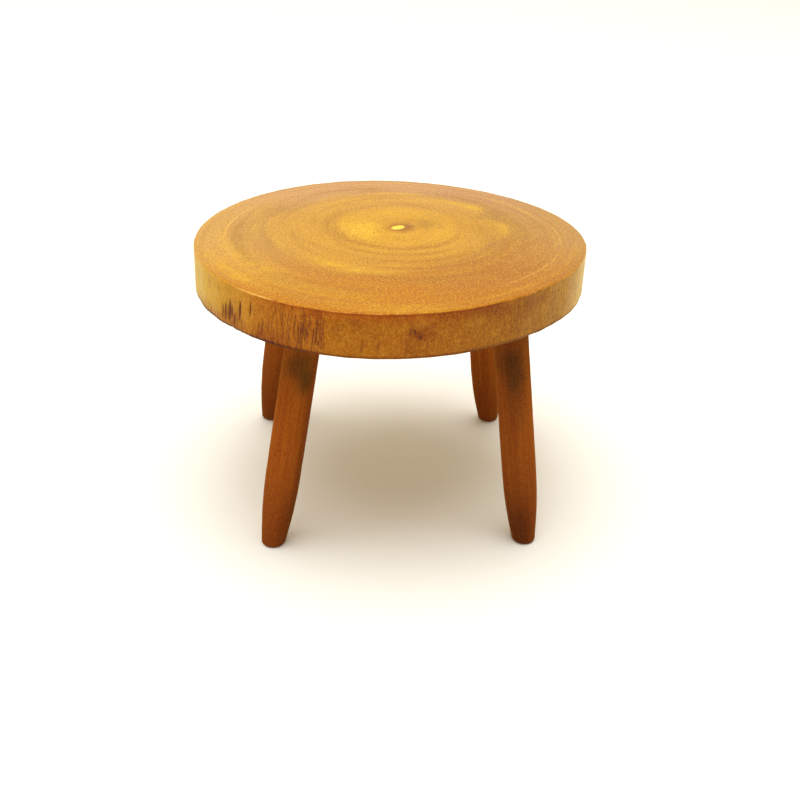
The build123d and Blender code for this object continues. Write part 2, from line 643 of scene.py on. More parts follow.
DUSK_PATCHES = (
    (43, 22, 4.5, 9, 0.8),
    (45, 52, 4, 14, 0.4),
    (40.5, 64, 2.6, 9, 0.4),
    (41, 12, 3, 7, 0.4),
    (13.5, 20, 6, 22, 0.5),
    (33.5, 21, 2.5, 4, 0.5),
    (45.5, -2, 1.8, 16, 0.5),
    (52, 0, 5, 10, 0.15),
    (8, 22, 5, 30, 0.6),
    (4.5, 30, 2.5, 60, 0.5),
    (32, 168, 2.5, 5, 0.4),
    (50, 157, 4.5, 8, 0.6),
    (59, -168, 4, 16, 0.5),
    (45.5, 102, 2.5, 10, 0.6),
    (35, 95, 1.5, 12, 0.4),
    (53, -80, 3, 14, 0.4),
    (66, -131, 3, 6, 0.5),
)
EMBER_PATCHES = (
    (50, -52, 9, 16, 0.8),
    (45, -26, 6.5, 14, 0.65),
    (60, -68, 8, 20, 0.8),
    (59, -44, 9, 16, 0.55),
    (55, -16, 7, 11, 0.45),
    (39.5, -72, 4, 24, 0.45),
    (74, -124, 4, 10, 0.5),
    (66, -116, 4, 12, 0.4),
)


def patch_field(patches, distance, azimuth):
    """How strongly a set of soft patches covers points at distances in mm and azimuths."""
    total = np.zeros_like(distance)
    for far, heading, depth, spread, strength in patches:
        aside = np.angle(np.exp(1j * (azimuth - math.radians(heading)))) / math.radians(spread)
        total += strength * np.exp(-(((distance - far) / depth) ** 2) - aside**2)
    return total


def paint_slab(mesh, outline, low, high):
    """What the slab's material reads at each point: its growth ring, which face it is on, how far
    inside the heartwood it is, the soft patches, and the rim's cracks, stains and painted shade."""
    x, y, z = vertices_of(mesh).T
    ring = outline.ring_at(x, y)
    distance = np.hypot(x - PITH[0], y - PITH[1]) / MM
    azimuth = np.arctan2(y - PITH[1], x - PITH[0])
    headings, edges = np.radians([h for h, _ in HEART_EDGE]), [edge for _, edge in HEART_EDGE]
    below_top = np.clip((high - z) / TOP_EDGE_ROUND, 0, 1)
    over_under = np.clip((z - low) / UNDER_EDGE_ROUND, 0, 1)
    outer = np.clip((ring - 0.96) / 0.02, 0, 1)
    crack = crack_field(np.arctan2(y, x), z - low) * (below_top > 0.2) * (outer > 0.5)
    paint(mesh, "ring", ring)
    paint(mesh, "side", below_top * outer)
    paint(mesh, "under", 1 - over_under)
    paint(mesh, "heart", np.interp(azimuth, headings, edges, period=TURN) - distance)
    paint(mesh, "gold", patch_field(GOLD_PATCHES, distance, azimuth))
    paint(mesh, "dusk", patch_field(DUSK_PATCHES, distance, azimuth))
    paint(mesh, "ember", patch_field(EMBER_PATCHES, distance, azimuth))
    paint(mesh, "crack", crack)
    paint(mesh, "stain_and_shade", patch_field(RIM_STAINS_AND_SHADE, (z - low) / MM, np.arctan2(y, x)))


# ---- the legs' shape
LEG_TAPER_MM = 28.0
LEG_FOOT_RADIUS_MM = 3.9
LEG_FOOT_SPARE_MM = 2.0
FOOT_ROUND = 1.6 * MM
TENON_CHAMFER = 0.5 * MM
LEG_COLUMNS = 112
LEG_ROW = 0.9 * MM
LEVELLING = 14 * MM  # over this much of the leg, its rings turn level with the floor
FOOT_ROWS = 7
LEG_OVAL = 0.05 * MM
LEG_GROOVES = 0.018 * MM
LEG_LATHE = 0.015 * MM
# Painted shade high on each leg, under the slab: distance up the leg in mm, the azimuth that it
# faces in degrees, half height in mm, half spread in degrees, strength.
LEG_TOP_SHADES = {
    "leg_front_left": (
        (70, -86, 7, 48, 0.6),
        (64, -62, 5.5, 26, 0.5),
        (71, -125, 7, 34, 0.12),
        (80, 100, 8, 50, 0.4),
    ),
    "leg_front_right": ((69, -95, 11, 52, 0.68), (52, -98, 9, 44, 0.24), (80, 60, 8, 50, 0.4)),
    "leg_back_left": ((76, 130, 9, 50, 0.5), (76, 20, 7, 30, 0.3)),
    "leg_back_right": ((76, 50, 8, 46, 0.5), (78, 170, 8, 30, 0.3)),
}
# Long soft painted shade down each leg, the same way.
LEG_SHADES = {
    "leg_front_left": ((40, -18, 60, 45, 0.72), (4, -54, 18, 40, 0.3), (45, 120, 40, 60, 0.3)),
    "leg_front_right": ((34, -102, 46, 40, 0.26), (1, -126, 17, 62, 0.8), (45, 110, 40, 60, 0.3)),
    "leg_back_left": ((40, 160, 40, 50, 0.3),),
    "leg_back_right": ((40, 10, 40, 50, 0.3),),
}


class Leg:
    """A packed leg's line and size, read from its node, and the shape that is turned on it."""

    def __init__(self, node):
        self.node = node
        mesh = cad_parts[node].data
        points = vertices_of(mesh)
        cap = [face for face in mesh.polygons if face.normal.z > 0.9]
        self.along = sum((face.normal * face.area for face in cap), Vector()).normalized()
        rim = points[sorted({v for face in cap for v in face.vertices})]
        ends = points[points[:, 2] > points[:, 2].max() - 4 * MM]
        self.top = Vector((rim.min(0) + rim.max(0)) / 2)
        offsets = ends - np.array(self.top)
        across = offsets - np.outer(offsets @ np.array(self.along), np.array(self.along))
        self.radius = float(np.linalg.norm(across, axis=1).max())
        self.length = self.top.z / self.along.z
        self.foot = self.top - self.along * self.length
        self.aside = Vector((0, 0, 1)).cross(self.along).normalized()
        self.inward = self.along.cross(self.aside)

    def mouth(self, level):
        """How far along the leg it crosses a level."""
        return (level - self.foot.z) / self.along.z

    def radius_at(self, distance):
        """The turned radius at a distance up the leg: straight, then one long arc to the foot."""
        drop = self.radius - LEG_FOOT_RADIUS_MM * MM
        run = (LEG_TAPER_MM + LEG_FOOT_SPARE_MM) * MM
        arc = (run**2 + drop**2) / (2 * drop)
        below = np.clip(LEG_TAPER_MM * MM - distance, 0, run)
        return self.radius - (arc - np.sqrt(arc**2 - below**2))


def leg_rows(leg, seed):
    """Rings of points from the leg's top to its level foot, with the marks of turning."""
    rng = np.random.default_rng(seed)
    angle = np.linspace(0, TURN, LEG_COLUMNS, endpoint=False)
    foot, along = np.array(leg.foot), np.array(leg.along)
    aside, inward = np.array(leg.aside), np.array(leg.inward)
    side_end = FOOT_ROUND / leg.along.z
    straight = np.arange(leg.length - TENON_CHAMFER, side_end, -LEG_ROW)
    distances = np.append(straight, side_end)
    turn_level = np.clip((LEVELLING - distances) / (LEVELLING - side_end), 0, 1)
    turn_level = (turn_level**2 * (3 - 2 * turn_level))[:, None]
    t = np.repeat(distances[:, None], LEG_COLUMNS, 1)
    for _ in range(4):
        lift = leg.radius_at(t) * np.sin(angle) * leg.inward.z / leg.along.z
        t = distances[:, None] - turn_level * lift
    grooves = waves(rng, angle, t / (14 * MM), (9, 46), 0.5, 50)
    lathe = waves(rng, t / (30 * MM), 0 * angle, (3, 26), 0)
    oval = np.cos(2 * angle + rng.uniform(0, TURN) + t / (60 * MM))
    dent = LEG_OVAL * (1 + oval) + LEG_GROOVES * (1.5 + grooves) + LEG_LATHE * (1.5 + lathe)
    radius = leg.radius_at(t) - np.maximum(dent, 0) * np.clip(t / (4 * MM), 0.3, 1)
    ring = np.cos(angle)[:, None] * aside + np.sin(angle)[:, None] * inward
    side = foot + t[..., None] * along + radius[..., None] * ring
    rows = []
    for share in (0.25, 0.6, 1.0):
        inner = share * (radius[0] - TENON_CHAMFER)
        rows.append(foot + leg.length * along + inner[:, None] * ring)
    rows += list(side)
    sole = side[-1]
    centre = sole.mean(0)
    for step in range(1, FOOT_ROWS + 1):
        lean = math.pi / 2 * step / FOOT_ROWS
        level = FOOT_ROUND * (1 - math.sin(lean))
        outwards = sole - centre
        size = np.linalg.norm(outwards, axis=1)[:, None]
        shift = np.array(leg.along)[:2] / leg.along.z * (sole[:, 2].mean() - level)
        row = sole - outwards / size * FOOT_ROUND * (1 - math.cos(lean))
        row[:, :2] -= shift
        row[:, 2] = level
        rows.append(row)
    flat = rows[-1]
    for share in (0.75, 0.45, 0.15):
        rows.append(flat.mean(0) + share * (flat - flat.mean(0)))
    return rows


def make_leg(leg, seed, tone, material):
    points, faces = stitch(leg_rows(leg, seed))
    piece = new_piece("turned_" + leg.node, points, faces, material)
    finish_mesh(piece.data)
    rng = np.random.default_rng(seed)
    offsets = vertices_of(piece.data) - np.array(leg.foot)
    axes = np.array([leg.aside, leg.inward, leg.along]).T
    local = offsets @ axes / MM
    spin = rng.uniform(0, TURN)
    turned = local.copy()
    turned[:, 0] = local[:, 0] * math.cos(spin) - local[:, 1] * math.sin(spin)
    turned[:, 1] = local[:, 0] * math.sin(spin) + local[:, 1] * math.cos(spin)
    paint(piece.data, "grain", turned + rng.uniform(-200, 200, 3), "FLOAT_VECTOR")
    around = offsets @ axes[:, :2] @ axes[:, :2].T
    azimuth = np.arctan2(around[:, 1], around[:, 0])
    # patches of painted shade, high on each leg and long down it
    for name, patches in (("top_shade", LEG_TOP_SHADES), ("shade", LEG_SHADES)):
        paint(piece.data, name, patch_field(patches[leg.node], local[:, 2], azimuth))
    paint(piece.data, "up_leg", local[:, 2])
    paint(piece.data, "tone", np.full(len(local), tone))
    return piece


# ---- wood
GRAIN_RELIEF = 0.06 * MM
# A table of grain holds its size, and then levels for Coat.grain. The size is crests in a mm across
# the wood and along it, noise detail and noise roughness.


def fields(n):
    """The point of a piece in mm, and its three parts."""
    point = n.scale(n.add("TexCoord", output="Object"), 1 / MM)
    return point, *n.parts(point)


def stops_over(rows):
    """Ramp stops from rows of a place and a colour: 0 at the first place, and 1 at the last."""
    start, end = rows[0][0], rows[-1][0]
    return [((place - start) / (end - start), srgb(*colour)) for place, *colour in rows]


def drawn_out(n, point, across, along, detail, roughness):
    """Noise drawn out along the wood."""
    return n.noise(n.vector("MULTIPLY", point, (across, across, along)), 1.0, detail, roughness)


def varnish(n, shader, colour, roughness, height, finish):
    """Satin varnish over wood of a colour, with the relief of its grain."""
    bump = n.add("Bump", {"Strength": 1.0, "Distance": GRAIN_RELIEF, "Height": height})
    n.fill(shader, {"Base Color": colour, "Roughness": roughness, "Normal": bump, **finish})


# ---- the slab's wood
SLAB_FINISH = {
    "Specular IOR Level": 0.1,
    "Sheen Weight": 0.06,  # the dusty glow of the wood seen edge on
    "Sheen Roughness": 0.3,
    "Sheen Tint": (1.0, 0.88, 0.4, 1),
}
SLAB_ROUGHNESS = 0.4
CRACK_ROUGHNESS = 0.3  # this much rougher
UNDER_ROUGHNESS = 0.5
CRACK_COLOUR = srgb(98, 46, 28)
CRACK_SPAN = (0.02, 0.8, 0, 0.9)
UNDER_COLOUR = srgb(120, 74, 30)
UNDER_SHARE = 0.35


def slice_material():
    material, n, shader = new_material("varnished slice")
    point, x, y, z = fields(n)
    side, under, crack = (n.attribute(name) for name in ("side", "under", "crack"))
    face, face_height = face_wood(n, Spot(n, x, y))
    azimuth = n.math("DEGREES", n.math("ARCTAN2", y, x))
    rim, rim_height = rim_wood(n, point, azimuth, z)
    on_rim = n.span(n.plus(side, n.swing(point, 1.3, 0.25)), 0.15, 0.75)
    coat = Coat(n, n.mix(on_rim, face, rim))
    paint_edge_highlight(n, coat, point, azimuth, side)
    coat.lay(n.span(crack, *CRACK_SPAN), CRACK_COLOUR)
    coat.shade(n.times(under, UNDER_SHARE), UNDER_COLOUR)
    roughness = n.plus(SLAB_ROUGHNESS, n.swing(point, 0.08, 0.07, 3))
    roughness = n.plus(roughness, n.swing(point, 3.0, 0.05, 2))
    roughness = n.plus(roughness, n.times(crack, CRACK_ROUGHNESS))
    roughness = n.plus(roughness, n.times(under, UNDER_ROUGHNESS))
    height = n.add("Mix", {0: on_rim, 2: face_height, 3: rim_height}, 0, data_type="FLOAT")
    varnish(n, shader, coat.colour, roughness, height, SLAB_FINISH)
    return material


# painted highlight along the slab's upper edge: faint all round, and bright in one stretch
EDGE_HIGHLIGHT = srgb(214, 150, 70)
EDGE_BRIGHT_HIGHLIGHT = srgb(234, 192, 110)
# The bright painted highlight's two ends, in degrees about the slab's middle: where it sets in, and is
# full.
HIGHLIGHT_FROM = (-142, -134)
HIGHLIGHT_TO = (-125, -129)


def paint_edge_highlight(n, coat, point, azimuth, side):
    """Painted highlight on the upper edge: faint all round, and brighter in one stretch."""
    turning = n.times(n.span(side, 0.0, 0.5), n.span(side, 1.0, 0.5))
    faint_highlight = n.times(turning, n.span(n.noise(point, 0.35, 3), 0.35, 0.7, 0.1, 0.55))
    coat.lay(faint_highlight, EDGE_HIGHLIGHT)
    bright_highlight = n.times(n.span(azimuth, *HIGHLIGHT_FROM), n.span(azimuth, *HIGHLIGHT_TO))
    bright_highlight = n.times(bright_highlight, n.span(n.noise(point, 0.6, 3), 0.3, 0.6, 0.3, 0.9))
    coat.lay(n.times(turning, bright_highlight), EDGE_BRIGHT_HIGHLIGHT)


# ---- the slab's face
FACE_RINGS = (  # mm from the pith, then the varnished wood's red, green and blue
    (0, 198, 142, 36),
    (7, 198, 146, 46),
    (17, 198, 149, 52),
    (22, 192, 142, 54),
    (32, 188, 140, 58),
    (44, 184, 138, 66),
    (54, 180, 134, 76),
    (66, 181, 137, 80),
    (70, 184, 140, 82),
)
HEART_TINT = srgb(187, 135, 44)
GOLD = srgb(214, 170, 42)
DUSK = srgb(142, 98, 48)
EMBER = srgb(154, 92, 34)
# the front's orange and the back's pink are painted reflection: the face deeper towards the front and
# paler and pinker towards the back
FRONT_ORANGE = srgb(173, 103, 2)
RING_LINE = srgb(140, 82, 22)
DISC_TINT = srgb(204, 152, 36)
BACK_REFLECTION_PINK = srgb(187, 142, 114)
# painted shade towards the right of the face
RIGHT_SHADE = (0.82, 0.81, 1.0, 1)
# painted light towards the left of the face
LEFT_LIGHT = srgb(204, 160, 98)
PALE_LINE = srgb(226, 174, 84)
PITH_COLOUR = srgb(240, 200, 74)
PITH_HALO = srgb(132, 70, 30)
PORE = srgb(92, 50, 14)
PATCH_TINTS = (("gold", GOLD, 0.85), ("dusk", DUSK, 0.75), ("ember", EMBER, 0.8))
# Where each broad tint sets in and where it is full, in mm, then its shares there.
HEART_EDGE_SPAN = (-1.4, 1.4, 0, 0.65)  # over the heartwood's edge
FRONT_SPAN = (4, -60)  # over y
BACK_SPAN = (12, 62)
LEFT_SPAN = (-10, -60, 0, 0.22)  # over x
RIGHT_SPAN = (5, 70, 0, 0.8)
# The pale disc of the innermost heart.
DISC_CENTRE = np.array([3.3, 12.3]) * MM
DISC_SPAN = (23.3, 21.1, 0, 0.32)  # mm from its centre
# The dark halo round the pith, and a faint hoop in it: mm from its centre, which lies beside the pith.
HALO_SHIFT = (0.8, -0.2, 0.0)
HALO_SPANS = ((8.6, 4.4, 0, 0.24), (5.2, 2.6, 0, 0.55))
HOOP_RADIUS = 9.4
HOOP_SPAN = (1.2, 0.1, 0, 0.12)
PITH_SPAN = (1.12, 0.8)  # half lengths from the pith's middle
DUSK_AND_GOLD = ((DUSK, "MIX"), (GOLD, "MIX"))
LINE_AND_GOLD = ((RING_LINE, "MIX"), (GOLD, "MIX"))
# For the face, a grain's size starts with how fast it changes round the pith and with each mm of
# ring instead.
BROAD_BANDS = ((1.3, 0.16, 3, 0.6), (0.52, 0.72, 0.28), (0.46, 0.28, 0.28))
BANDS = ((1.8, 0.5, 2, 0.5), (0.5, 0.72, 0.2), (0.46, 0.3, 0.15))
FINE_RINGS = ((5.0, 2.0, 2, 0.5), (0.5, 0.75, 0.1))
RAYS = ((60.0, 0.12, 2, 0.5), (0.55, 0.8, 0.12))
# And these grains are the same each way: crests in a mm, detail, roughness.
CLOUDS = ((0.7, 3, 0.65), (0.5, 0.75, 0.3), (0.5, 0.25, 0.25))
SPECKLE = ((1.3, 4, 0.8), (0.5, 0.66, 0.9), (0.49, 0.34, 0.78))
# Arcs of growth ring: distance in mm, azimuth of the middle in degrees, half width in mm, half
# spread in degrees, strength, colour. These are measured from the middle of the pale disc.
HEART_ARCS = (
    (24, -105, 2.8, 95, 0.42, RING_LINE),
    (24.6, 95, 2.8, 110, 0.18, RING_LINE),
    (26.5, 185, 2.6, 60, 0.3, RING_LINE),
    (20.2, -125, 1, 40, 0.25, RING_LINE),
    (28.6, 125, 1.5, 80, 0.12, RING_LINE),
    (26.9, -80, 1, 70, 0.3, GOLD),
    (30.2, -92, 1.8, 52, 0.36, RING_LINE),
    (30.5, 8, 1.3, 42, 0.28, RING_LINE),
    (33, 130, 1.6, 60, 0.2, RING_LINE),
    (36.4, -80, 2.4, 46, 0.44, RING_LINE),
    (43.4, -78, 2.2, 38, 0.44, RING_LINE),
    (52.2, -82, 2.6, 38, 0.42, RING_LINE),
    (37, 95, 1.8, 30, 0.2, RING_LINE),
)
# And these are growth rings, which follow the bark.
BARK_ARCS = (
    (60.8, 176, 0.7, 26, 0.6, PALE_LINE),
    (60.9, -150, 1, 20, 0.2, PALE_LINE),
    (60.6, -8, 0.8, 14, 0.5, PALE_LINE),
    (60.8, -46, 0.7, 24, 0.4, PALE_LINE),
    (59, 62, 0.6, 60, 0.3, PALE_LINE),
    (65.5, 100, 0.6, 60, 0.3, PALE_LINE),
    (57, -165, 2.6, 34, 0.5, DUSK),
    (56, 20, 1.8, 40, 0.35, DUSK),
    (54, 112, 2.4, 26, 0.5, DUSK),
    (50.5, 55, 2.2, 24, 0.35, DUSK),
    (69.6, 100, 4.2, 62, 0.4, DUSK),
    (67.5, -58, 3.6, 44, 0.3, EMBER),
    (63.5, -100, 1.6, 34, 0.4, EMBER),
    (55.5, -118, 1.6, 22, 0.45, EMBER),
)


class Spot:
    """Where a point of the slab's face lies, as node outputs in mm."""

    def __init__(self, n, x, y):
        self.n = n
        self.x = x
        self.y = y
        self.flat = n.add("CombineXYZ", {0: x, 1: y})
        self.ring = n.times(n.attribute("ring"), SLAB_MEAN_RADIUS / MM)
        self.off_pith = n.vector("SUBTRACT", self.flat, (*(PITH / MM), 0.0))
        self.facing = n.vector("NORMALIZE", self.off_pith)

    def ringed(self, around, outwards, detail, roughness):
        """Noise drawn out along the rings."""
        rise = self.n.add("CombineXYZ", {2: self.n.times(self.ring, outwards)})
        place = self.n.vector("ADD", self.n.scale(self.facing, around), rise)
        return self.n.noise(place, 1.0, detail, roughness)


def face_wood(n, spot):
    """Colour and height of the cross-cut faces: tints, patches, rings, grain and the pith."""
    coat = face_tints(n, spot)
    coat.grain(spot.ringed, BROAD_BANDS, DUSK_AND_GOLD)
    coat.grain(spot.ringed, BANDS, LINE_AND_GOLD)
    face_figure(n, spot, coat)
    fine = coat.grain(spot.ringed, FINE_RINGS, LINE_AND_GOLD)
    coat.grain(spot.ringed, RAYS, LINE_AND_GOLD[1:])
    clouded = partial(n.noise, spot.flat)
    coat.grain(clouded, CLOUDS, LINE_AND_GOLD)
    speckle = coat.grain(clouded, SPECKLE, LINE_AND_GOLD)
    cells = {"Vector": spot.flat, "Scale": 1.25, "Randomness": 1.0}
    pores = n.span(n.add("TexVoronoi", cells, feature="F1"), 0.14, 0.05)
    pores = n.times(pores, n.span(n.noise(spot.flat, 0.8, 2), 0.5, 0.62))
    coat.lay(n.times(pores, 0.6), PORE)
    face_pith(n, spot, coat)
    height = n.plus(n.times(fine, 0.4), n.times(speckle, 0.7))
    height = n.minus(height, n.times(pores, 1.2))
    return coat.colour, height


def face_tints(n, spot):
    """The rings' broad colours, the heartwood, and painted reflection, light and shade towards the
    sides of the slab.
    """
    wavy = n.plus(spot.ring, n.swing(spot.flat, 0.055, 2.4, 3))
    share = n.math("DIVIDE", wavy, SLAB_MEAN_RADIUS / MM)
    coat = Coat(n, n.ramp(share, stops_over(FACE_RINGS)))
    heart = n.plus(n.attribute("heart"), n.swing(spot.flat, 0.16, 1.6, 3))
    coat.lay(n.span(heart, *HEART_EDGE_SPAN), HEART_TINT)
    just_outside = n.times(n.span(heart, 1.2, -1.6), n.span(heart, -12, -2))
    coat.lay(n.times(just_outside, 0.42), DUSK)
    # painted reflection: deeper and more orange towards the front, paler and pinker towards the back
    front = n.times(n.span(spot.y, *FRONT_SPAN), n.span(heart, 3, -3, 0.5, 1.0))
    coat.lay(front, FRONT_ORANGE)
    back = n.times(n.span(spot.y, *BACK_SPAN), n.span(heart, 3, -3, 0.4, 0.7))
    coat.lay(back, BACK_REFLECTION_PINK)
    # painted shade towards the right and painted light towards the left
    coat.shade(n.span(spot.x, *RIGHT_SPAN), RIGHT_SHADE)
    left = n.times(n.span(spot.x, *LEFT_SPAN), n.span(spot.y, -50, -5))
    coat.lay(left, LEFT_LIGHT)
    return coat


def face_figure(n, spot, coat):
    """The pale disc of the innermost heart, the soft patches, and the arcs of ring."""
    off_disc = n.vector("SUBTRACT", spot.flat, (*(DISC_CENTRE / MM), 0.0))
    shiver = n.swing(spot.flat, 0.13, 1.1, 3)
    from_disc = n.plus(n.length(off_disc), shiver)
    coat.lay(n.span(from_disc, *DISC_SPAN), DISC_TINT)
    uneven = n.span(n.noise(spot.flat, 0.24, 3, 0.6), 0.36, 0.64, 0.45, 1.3)
    for name, tint, most in PATCH_TINTS:
        share = n.times(n.times(n.attribute(name), uneven), most)
        coat.lay(n.math("MINIMUM", share, most), tint)

    off_x, off_y, _ = n.parts(off_disc)
    heading = n.math("DEGREES", n.math("ARCTAN2", off_y, off_x))
    ring = n.plus(spot.ring, n.times(shiver, 0.6))
    mottle = n.span(n.noise(spot.flat, 0.35, 2), 0.3, 0.6, 0.5, 1.1)
    for across, arcs in ((from_disc, HEART_ARCS), (ring, BARK_ARCS)):
        for middle, azimuth, half, spread, strength, tint in arcs:
            gap = n.math("ABSOLUTE", n.minus(across, middle))
            turn = {0: n.minus(heading, azimuth), 1: 180.0, 2: -180.0}
            turn = n.math("ABSOLUTE", n.add("Math", turn, operation="WRAP"))
            seen = n.times(n.span(gap, half, 0), n.span(turn, spread, spread * 0.4))
            coat.lay(n.times(n.times(seen, mottle), strength), tint)


def face_pith(n, spot, coat):
    """The pith, and the dark halo and the faint hoop round it."""
    beside = n.vector("SUBTRACT", spot.off_pith, HALO_SHIFT)
    halo = n.plus(n.length(beside), n.swing(spot.flat, 0.3, 1.9, 2))
    for span in HALO_SPANS:
        coat.lay(n.span(halo, *span), PITH_HALO)
    hoop = n.math("ABSOLUTE", n.minus(halo, HOOP_RADIUS))
    coat.lay(n.span(hoop, *HOOP_SPAN), PITH_HALO)
    cosine, sine = math.cos(PITH_HEADING), math.sin(PITH_HEADING)
    along = n.vector("DOT_PRODUCT", spot.off_pith, (cosine, sine, 0), 1)
    across = n.vector("DOT_PRODUCT", spot.off_pith, (-sine, cosine, 0), 1)
    along = n.math("DIVIDE", along, PITH_LENGTH / MM)
    across = n.math("DIVIDE", across, PITH_WIDTH / MM)
    almond = n.length(n.add("CombineXYZ", {0: along, 1: across}))
    almond = n.plus(almond, n.swing(spot.flat, 0.9, 0.18, 2))
    coat.lay(n.span(almond, *PITH_SPAN), PITH_COLOUR)


# ---- the slab's rim
RIM_AZIMUTHS = (  # degrees about the slab's middle, then red, green and blue; the paler stretches at both ends, seen edge on from the front, are painted reflection over the wood's colour
    (-180, 212, 174, 70),
    (-160, 212, 172, 40),
    (-148, 204, 152, 20),
    (-137, 192, 130, 14),
    (-129, 178, 106, 10),
    (-112.5, 168, 92, 8),
    (-110.5, 172, 104, 10),
    (-90, 163, 93, 12),
    (-70, 158, 94, 14),
    (-45, 164, 109, 16),
    (-30, 184, 134, 34),
    (-20, 214, 176, 84),
    (-8, 228, 194, 116),
    (20, 192, 138, 50),
    (60, 172, 106, 26),
    (100, 178, 110, 26),
    (140, 192, 136, 42),
    (180, 212, 174, 70),
)
RIM_SHADE = (0.5, 0.36, 0.3, 1)  # how much the darker grain keeps of each colour
RIM_LIGHT = srgb(206, 150, 46)
# stains, and painted shade low on the rim's left by the under edge
STAIN_AND_SHADE = (0.62, 0.42, 0.45, 1)
# The red line in the varnish just below the upper edge, mm below it: where it comes in, and out.
EDGE_LINE = (0.7, 0.45, 0.36, 1)
EDGE_LINE_IN = (0.3, 0.6)
EDGE_LINE_OUT = (1.5, 0.7)
UNDER_TOP = (0.94, 0.74, 0.5, 1)  # redder varnish below the upper edge
UNDER_TOP_SPAN = (5.0, 1.0)
UNDER_EDGE_SHADE = (0.3, 0.2, 0.16, 1)  # painted shade along the lower edge
UNDER_EDGE_SHADE_SPAN = (1.5, 0.5)
# Stretches of the rim, in degrees: where they set in, and where they are full.
FRONT_AZIMUTH = -95.0
FRONT_SPREAD = (45, 20)  # to each side of it
STREAKY = ((-130.5, -128.5), (-111, -112))
FLECKED = ((-70, -60), (-8, -20))
RIM_TINTS = ((RIM_SHADE, "MULTIPLY"), (RIM_LIGHT, "MIX"))
RIM_CLOUD = ((0.13, 0.13, 3, 0.6), (0.5, 0.72, 0.4), (0.48, 0.28, 0.3))
RIM_STRAND = (0.7, 0.07, 3, 0.6)
STRAND_SHADE_SPAN = (0.5, 0.68)
STRAND_LIGHT_SPAN = (0.48, 0.28, 0, 0.12)
RIM_MOTTLE = ((0.75, 0.6, 3, 0.7), (0.5, 0.74, 0.35), (0.48, 0.28, 0.25))
RIM_FIBRE = ((2.6, 1.0, 3, 0.7), (0.5, 0.78, 0.45), (0.48, 0.25, 0.25))
RIM_SPECKLE = ((1.2, 4, 0.8), (0.5, 0.66, 0.45), (0.49, 0.34, 0.45))
RIM_FLECK = (1.5, 0.7, 2, 0.5)
FLECK_SPAN = (0.64, 0.74, 0, 0.5)
RIM_UNEVEN = (0.6, 0.3, 3, 0.5)


def rim_wood(n, point, azimuth, z):
    """Colour and height of the rim, where the bark was peeled off: long grain standing upright."""
    turn = n.plus(0.5, n.math("DIVIDE", azimuth, 360.0))
    # the rim's colour round it, with painted reflection at its left and right ends
    coat = Coat(n, n.ramp(turn, stops_over(RIM_AZIMUTHS)))
    upright = partial(drawn_out, n, point)
    coat.grain(upright, RIM_CLOUD, RIM_TINTS)
    strands = upright(*RIM_STRAND)
    streaky = n.times(n.span(azimuth, *STREAKY[0]), n.span(azimuth, *STREAKY[1]))
    deep = n.plus(0.06, n.times(streaky, 0.7))
    coat.shade(n.times(n.span(strands, *STRAND_SHADE_SPAN), deep), RIM_SHADE)
    coat.lay(n.span(strands, *STRAND_LIGHT_SPAN), RIM_LIGHT)
    coat.grain(upright, RIM_MOTTLE, RIM_TINTS)
    fibres = coat.grain(upright, RIM_FIBRE, RIM_TINTS)
    coat.grain(partial(n.noise, point), RIM_SPECKLE, RIM_TINTS)
    flecked = n.times(n.span(azimuth, *FLECKED[0]), n.span(azimuth, *FLECKED[1]))
    flecks = n.plus(upright(*RIM_FLECK), n.times(flecked, 0.07))
    coat.shade(n.span(flecks, *FLECK_SPAN), RIM_SHADE)
    uneven = n.span(upright(*RIM_UNEVEN), 0.3, 0.6, 0.5, 1.2)
    # stains, and painted shade low on the left by the under edge
    stain_and_shade = n.math("MINIMUM", n.times(n.attribute("stain_and_shade"), uneven), 1.0)
    coat.shade(stain_and_shade, STAIN_AND_SHADE)
    rim_edges(n, coat, point, azimuth, z)
    return coat.colour, n.plus(n.times(fibres, 1.2), n.times(strands, 1.0))


def rim_edges(n, coat, point, azimuth, z):
    """Painted shade along the rim's lower edge, and the redder varnish and red line below its upper
    edge.
    """
    low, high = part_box(TABLETOP)
    height = n.plus(n.minus(z, low.z / MM), n.swing(point, 0.8, 0.3, 2))
    # painted shade along the lower edge, stronger towards the left
    under_shade = n.times(n.span(height, *UNDER_EDGE_SHADE_SPAN), n.span(azimuth, -90, -130, 0.6, 1.0))
    coat.shade(under_shade, UNDER_EDGE_SHADE)
    depth = n.minus(high.z / MM, z)
    off_front = n.math("ABSOLUTE", n.plus(azimuth, -FRONT_AZIMUTH))
    front = n.span(off_front, *FRONT_SPREAD)
    redder = n.times(n.span(depth, *UNDER_TOP_SPAN), front)
    coat.shade(redder, UNDER_TOP)
    line = n.times(n.span(depth, *EDGE_LINE_IN), n.span(depth, *EDGE_LINE_OUT))
    line = n.times(n.times(line, front), n.span(azimuth, -129, -123, 0, 0.6))
    coat.shade(line, EDGE_LINE)


# ---- the legs' wood
LEG_FINISH = {
    "Specular IOR Level": 0.0,  # the stained legs have no mirror gloss
    "Sheen Weight": 0.22,
    "Sheen Roughness": 0.3,
    "Sheen Tint": (1.0, 0.68, 0.22, 1),
}
LEG_ROUGHNESS = 0.42
SCUFF_ROUGHNESS = 0.2  # this much rougher
LEG_BROAD = (0.16, 0.012, 3, 0.6)
LEG_STOPS = (  # level of the broad noise, colour
    (0.2, srgb(173, 96, 28)),
    (0.42, srgb(161, 85, 26)),
    (0.6, srgb(150, 75, 25)),
    (0.85, srgb(134, 63, 24)),
)
LEG_SHADE = (0.55, 0.42, 0.5, 1)  # how much the darker grain keeps of each colour
LEG_LIGHT = srgb(190, 110, 34)
LEG_FOOT_SHADE = (0.5, 0.44, 0.8, 1)  # painted shade, darker towards the foot
LEG_FOOT_SHADE_SPAN = (45.0, 3.0, 0, 0.55)  # mm up the leg
